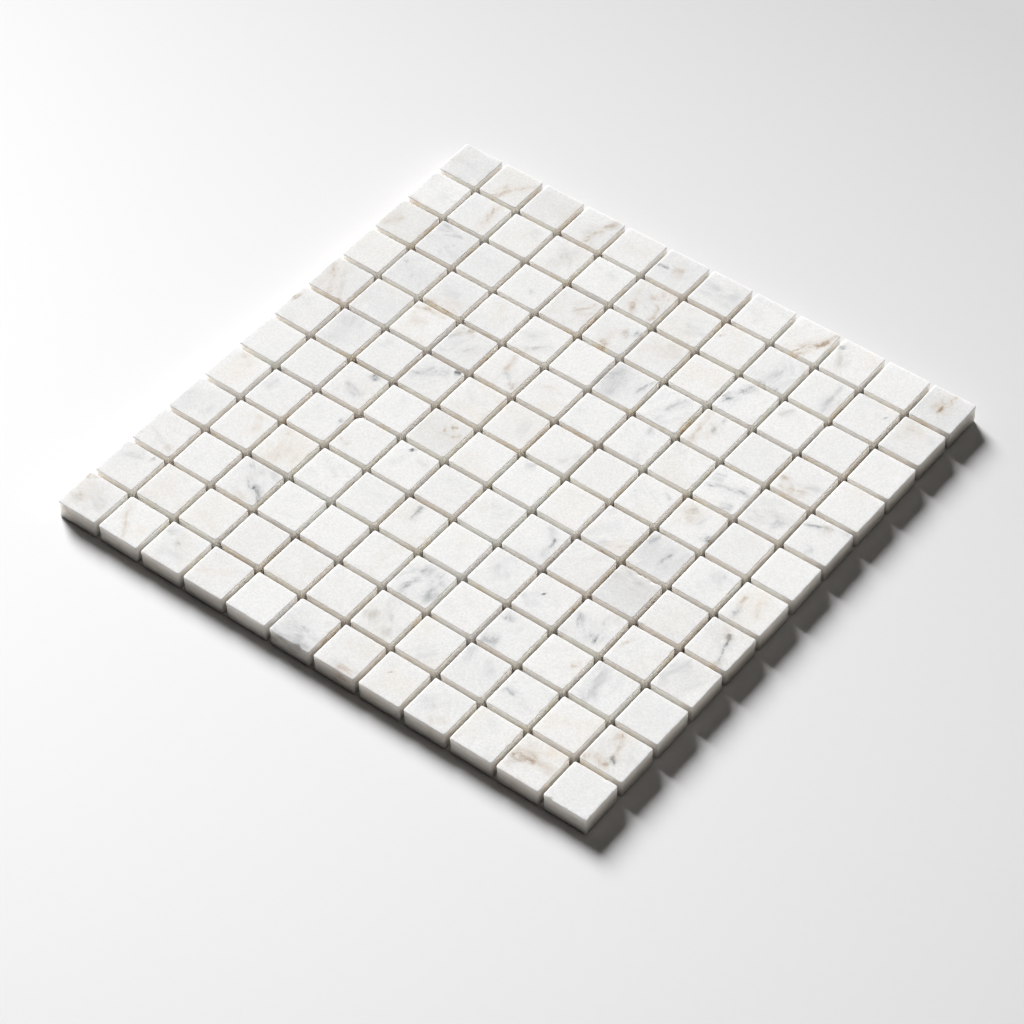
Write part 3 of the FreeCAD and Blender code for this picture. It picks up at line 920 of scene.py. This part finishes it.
# The floor's tone, and its painted pool of light: where it is palest, how fast and how far out it falls off.
FLOOR_POOL_OF_LIGHT_MIDDLE = (-.023, -.121, 0)
FLOOR_TONE = .718
FLOOR_BLUENESS = 1.01
FLOOR_POOL_OF_LIGHT_FALL_OFF = .55
FLOOR_POOL_OF_LIGHT_REACH = .52
FLOOR_MOTTLE = (.004, 3)
MOTTLE = (.3, .7)
FLOOR_TONES = (.997, 1.003)
FLOOR_ROUGHNESS = (.48, .495)

# By name: the way towards the light, how many degrees wide it looks, its strength, its colour.
LIGHTS = {
    "soft light": (Vector((-.7725, .3706, .5157)), 24, 6.32, (1, 1, 1)),
    "glow from the right": (Vector((.3536, .3536, .866)), 60, .213, (1, .95, .87)),
}
SURROUND = opaque(.026, .024, .022)


def satin():
    """A pale finish with a painted pool of light round the sheet, faintly mottled, that shines softly at a
    low angle.
    """
    material, nodes, shader = new_material("satin floor", {"Specular IOR Level": .42, "IOR": 1.5})
    place = nodes.add("ShaderNodeTexCoord", {}, "Object")
    # painted pool of light: the tone falls off with the distance from near the sheet's middle
    away = nodes.add("ShaderNodeVectorMath", {0: place, 1: FLOOR_POOL_OF_LIGHT_MIDDLE}, "Value", operation="DISTANCE")
    away = nodes.math("MINIMUM", away, FLOOR_POOL_OF_LIGHT_REACH)
    tone = nodes.math("MULTIPLY_ADD", nodes.math("MULTIPLY", away, away), -FLOOR_POOL_OF_LIGHT_FALL_OFF, FLOOR_TONE)
    mottle = nodes.noise(place, *FLOOR_MOTTLE)
    tone = nodes.math("MULTIPLY", tone, nodes.between(mottle, *MOTTLE, *FLOOR_TONES))
    blue = nodes.math("MULTIPLY", tone, FLOOR_BLUENESS)
    colour = nodes.add("ShaderNodeCombineColor", {0: tone, 1: tone, 2: blue})
    nodes.feed(shader.inputs["Base Color"], colour)
    nodes.feed(shader.inputs["Roughness"], nodes.between(mottle, *MOTTLE, *FLOOR_ROUGHNESS))
    return material


def studio_floor():
    half = FLOOR_SIZE / 2
    corners = [(-half, -half, 0), (half, -half, 0), (half, half, 0), (-half, half, 0)]
    mesh = bpy.data.meshes.new("floor")
    mesh.from_pydata(corners, [], [(0, 1, 2, 3)])
    mesh.materials.append(satin())
    floor = bpy.data.objects.new("floor", mesh)
    bpy.context.scene.collection.objects.link(floor)
    return floor


def studio_light():
    scene = bpy.context.scene
    for name, (towards, degrees_wide, strength, colour) in LIGHTS.items():
        light = bpy.data.lights.new(name, "SUN")
        light.color = colour
        light.angle = math.radians(degrees_wide)
        light.energy = strength
        lamp = bpy.data.objects.new(name, light)
        lamp.rotation_mode = "QUATERNION"
        lamp.rotation_quaternion = (-towards).to_track_quat("-Z", "Y")
        scene.collection.objects.link(lamp)
    scene.world = bpy.data.worlds.new("surround")
    scene.world.use_nodes = True
    surround = scene.world.node_tree.nodes["Background"]
    surround.inputs["Color"].default_value = SURROUND
    scene.view_settings.view_transform = "Standard"


# The camera stands where it sees the sheet as the photograph does. Sensor and lens are in mm.

CAMERA_PLACE = Vector((.69491, -.87268, 1.21031))
CAMERA_LOOK = Vector((-.41884, .52121, -.74358))
CAMERA_ROLL = math.radians(-1.3291)
CAMERA_SENSOR = 36
CAMERA_LENS = 124.884


def studio_camera():
    camera = bpy.data.cameras.new("camera")
    camera.sensor_width = CAMERA_SENSOR
    camera.lens = CAMERA_LENS
    stand = bpy.data.objects.new("camera", camera)
    stand.location = CAMERA_PLACE
    stand.rotation_mode = "QUATERNION"
    stand.rotation_quaternion = CAMERA_LOOK.to_track_quat("-Z", "Y") @ Quaternion((0, 0, 1), CAMERA_ROLL)
    bpy.context.scene.collection.objects.link(stand)
    bpy.context.scene.camera = stand


def dress(piece, node, material):
    """Gives a piece its material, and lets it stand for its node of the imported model."""
    piece.data.materials.append(material)
    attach(piece, "root")
    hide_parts(node)


stone_material = marble(vein_group())
for row_number, row_node in enumerate(ROW_NODES, start=1):
    dress(tile_row(row_number, row_node), row_node, stone_material)
yarn_material = coated_glass_fibre()
dress(warp(), "net_warp", yarn_material)
dress(weft(), "net_weft", yarn_material)
studio_floor()
studio_light()
studio_camera()
